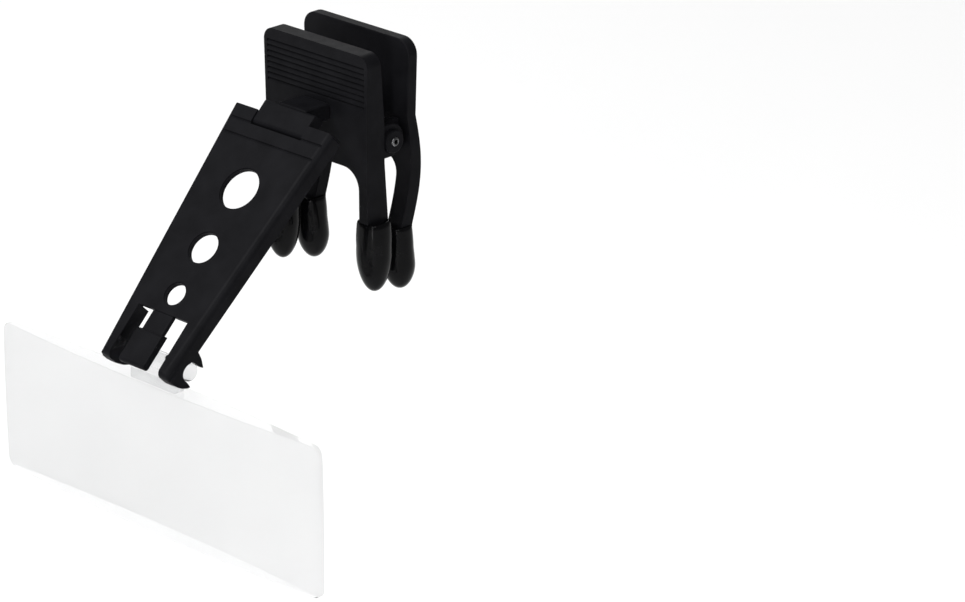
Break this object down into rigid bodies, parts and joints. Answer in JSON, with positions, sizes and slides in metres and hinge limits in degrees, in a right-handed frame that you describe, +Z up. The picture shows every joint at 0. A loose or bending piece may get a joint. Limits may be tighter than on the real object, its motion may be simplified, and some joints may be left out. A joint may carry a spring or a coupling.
{
  "type": "clip-on flip-up lens",
  "caption": "Clip-on magnifier for spectacles: a sprung clip with rubber feet carries a flip-up arm, and a clear rectangular lens snaps onto the arm and tilts.",
  "frame": {"origin": "middle of the grip, midway between the front and rear rubber feet at half their height", "axes": "X along the lens and both hinge axes, +Y back towards the wearer's face, -Y forward, +Z up"},
  "size_m": [0.07, 0.0489, 0.0695],
  "materials": {
    "black_plastic": "satin black moulded plastic",
    "rubber": "glossy soft black rubber",
    "steel": "blackened drawn steel wire and pins",
    "clear_plastic": "polished clear acrylic"
  },
  "bodies": {
    "front_jaw": {"front_jaw": "black_plastic", "hinge_neck": "black_plastic", "jaw_pin": "steel", "jaw_spring": "steel", "front_foot_left": "rubber", "front_foot_right": "rubber"},
    "rear_jaw": {"rear_jaw": "black_plastic", "spring_rear_leg": "steel", "rear_foot_left": "rubber", "rear_foot_right": "rubber"},
    "arm": {"arm": "black_plastic", "arm_tongue": "black_plastic", "arm_pin": "steel"},
    "lens": {"lens": "clear_plastic", "lens_tab": "clear_plastic"}
  },
  "joints": [
    {"name": "jaw_pivot", "type": "hinge", "parent": "front_jaw", "child": "rear_jaw", "pos_m": [0, 0.00046, 0.01755], "axis": [1, 0, 0], "range_deg": [0, 16], "stiffness_Nm_per_rad": 0.12, "springref_deg": -20.05},
    {"name": "arm_flip", "type": "hinge", "parent": "front_jaw", "child": "arm", "pos_m": [0, -0.01168, 0.01982], "axis": [-1, 0, 0], "range_deg": [-20, 90]},
    {"name": "lens_tilt", "type": "hinge", "parent": "arm", "child": "lens", "pos_m": [0, -0.03778, -0.00946], "axis": [1, 0, 0], "range_deg": [-30, 60]}
  ]
}
